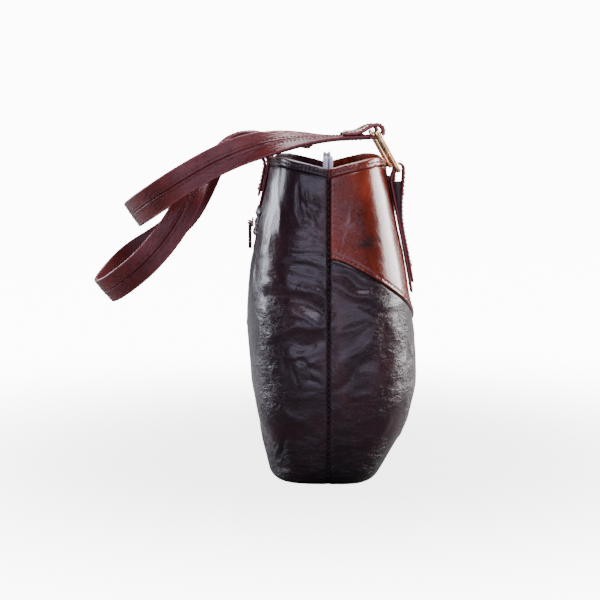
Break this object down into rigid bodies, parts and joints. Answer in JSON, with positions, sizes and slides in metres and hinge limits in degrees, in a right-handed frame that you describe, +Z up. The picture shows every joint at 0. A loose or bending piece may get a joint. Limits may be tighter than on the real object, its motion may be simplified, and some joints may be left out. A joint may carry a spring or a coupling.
{
  "type": "shoulder bag",
  "caption": "Flared leather shoulder bag with zipped mouth, back pocket, curved front yoke and flat strap handles hung on rectangular rings, flopped over the back.",
  "frame": {"origin": "middle of the base, on the ground, between the side seams", "axes": "X along the bag's width, -Y its front with the yoke, +Z up"},
  "size_m": [0.34, 0.3358, 0.3478],
  "materials": {
    "dark_leather": "glossy, creased",
    "yoke_leather": "glossy",
    "strap_leather": "satin",
    "brass": "polished",
    "tape_cloth": "woven",
    "lining_cloth": "woven",
    "board": "matt fibre board"
  },
  "bodies": {
    "bag": {"front_lower_panel": "dark_leather", "front_yoke": "yoke_leather", "front_rim_band": "yoke_leather", "back_panel": "dark_leather", "back_rim_band": "dark_leather", "base_panel": "dark_leather", "base_board": "board", "base_lining": "lining_cloth", "front_lining": "lining_cloth", "back_lining": "lining_cloth", "front_facing": "yoke_leather", "back_facing": "dark_leather", "tab_backers": "board", "front_closure_panel": "yoke_leather", "back_closure_panel": "dark_leather", "front_zip_tape": "tape_cloth", "back_zip_tape": "tape_cloth", "front_zip_teeth": "brass", "back_zip_teeth": "brass", "left_zip_end": "tape_cloth", "right_zip_end": "tape_cloth", "pocket_zip_tape": "tape_cloth", "pocket_zip_teeth": "brass", "pocket_pouch": "lining_cloth", "front_left_tab": "strap_leather", "front_right_tab": "strap_leather", "back_left_tab": "strap_leather", "back_right_tab": "strap_leather", "tab_rivets": "brass"},
    "front_left_ring": {"front_left_ring": "brass"},
    "front_right_ring": {"front_right_ring": "brass"},
    "back_left_ring": {"back_left_ring": "brass"},
    "back_right_ring": {"back_right_ring": "brass"},
    "front_handle": {"front_handle_strap": "strap_leather", "front_handle_lining": "strap_leather", "front_left_fold": "strap_leather", "front_right_fold": "strap_leather", "front_handle_plates": "brass"},
    "back_handle": {"back_handle_strap": "strap_leather", "back_handle_lining": "strap_leather", "back_left_fold": "strap_leather", "back_right_fold": "strap_leather", "back_handle_plates": "brass"},
    "zip_slider": {"zip_slider": "brass"},
    "zip_puller": {"zip_puller": "strap_leather"},
    "pocket_slider": {"pocket_slider": "brass"},
    "pocket_puller": {"pocket_puller": "dark_leather"}
  },
  "joints": [
    {"name": "front_left_ring_hinge", "type": "hinge", "parent": "bag", "child": "front_left_ring", "pos_m": [-0.084, -0.0685, 0.302], "axis": [1, 0, 0], "range_deg": [0, 120]},
    {"name": "front_right_ring_hinge", "type": "hinge", "parent": "bag", "child": "front_right_ring", "pos_m": [0.084, -0.0685, 0.302], "axis": [1, 0, 0], "range_deg": [0, 120]},
    {"name": "back_left_ring_hinge", "type": "hinge", "parent": "bag", "child": "back_left_ring", "pos_m": [-0.05, 0.0629, 0.318], "axis": [1, 0, 0], "range_deg": [-35, 0]},
    {"name": "back_right_ring_hinge", "type": "hinge", "parent": "bag", "child": "back_right_ring", "pos_m": [0.05, 0.0629, 0.318], "axis": [1, 0, 0], "range_deg": [-35, 0]},
    {"name": "back_handle_hinge", "type": "hinge", "parent": "back_left_ring", "child": "back_handle", "pos_m": [-0.05, 0.02233, 0.32887], "axis": [1, 0, 0], "range_deg": [0, 150]},
    {"name": "front_handle_hinge", "type": "hinge", "parent": "front_left_ring", "child": "front_handle", "pos_m": [-0.084, -0.04801, 0.33866], "axis": [1, 0, 0], "range_deg": [0, 123.1]},
    {"name": "zip_slider_slide", "type": "slide", "parent": "bag", "child": "zip_slider", "axis": [1, 0, 0], "range_m": [0, 0.06]},
    {"name": "zip_puller_hinge", "type": "hinge", "parent": "zip_slider", "child": "zip_puller", "pos_m": [0.05, 0, 0.2993], "axis": [0, 1, 0], "range_deg": [0, 100]},
    {"name": "pocket_slider_slide", "type": "slide", "parent": "bag", "child": "pocket_slider", "axis": [1, 0, 0], "range_m": [0, 0.12]},
    {"name": "pocket_puller_hinge", "type": "hinge", "parent": "pocket_slider", "child": "pocket_puller", "pos_m": [-0.06, 0.07887, 0.249], "axis": [1, 0, 0], "range_deg": [0, 150]}
  ],
  "couplings": [
    {"joint": "front_right_ring_hinge", "follows": "front_left_ring_hinge", "ratio": 1},
    {"joint": "back_right_ring_hinge", "follows": "back_left_ring_hinge", "ratio": 1},
    {"joint": "front_handle_hinge", "follows": "back_handle_hinge", "ratio": 0.82}
  ]
}
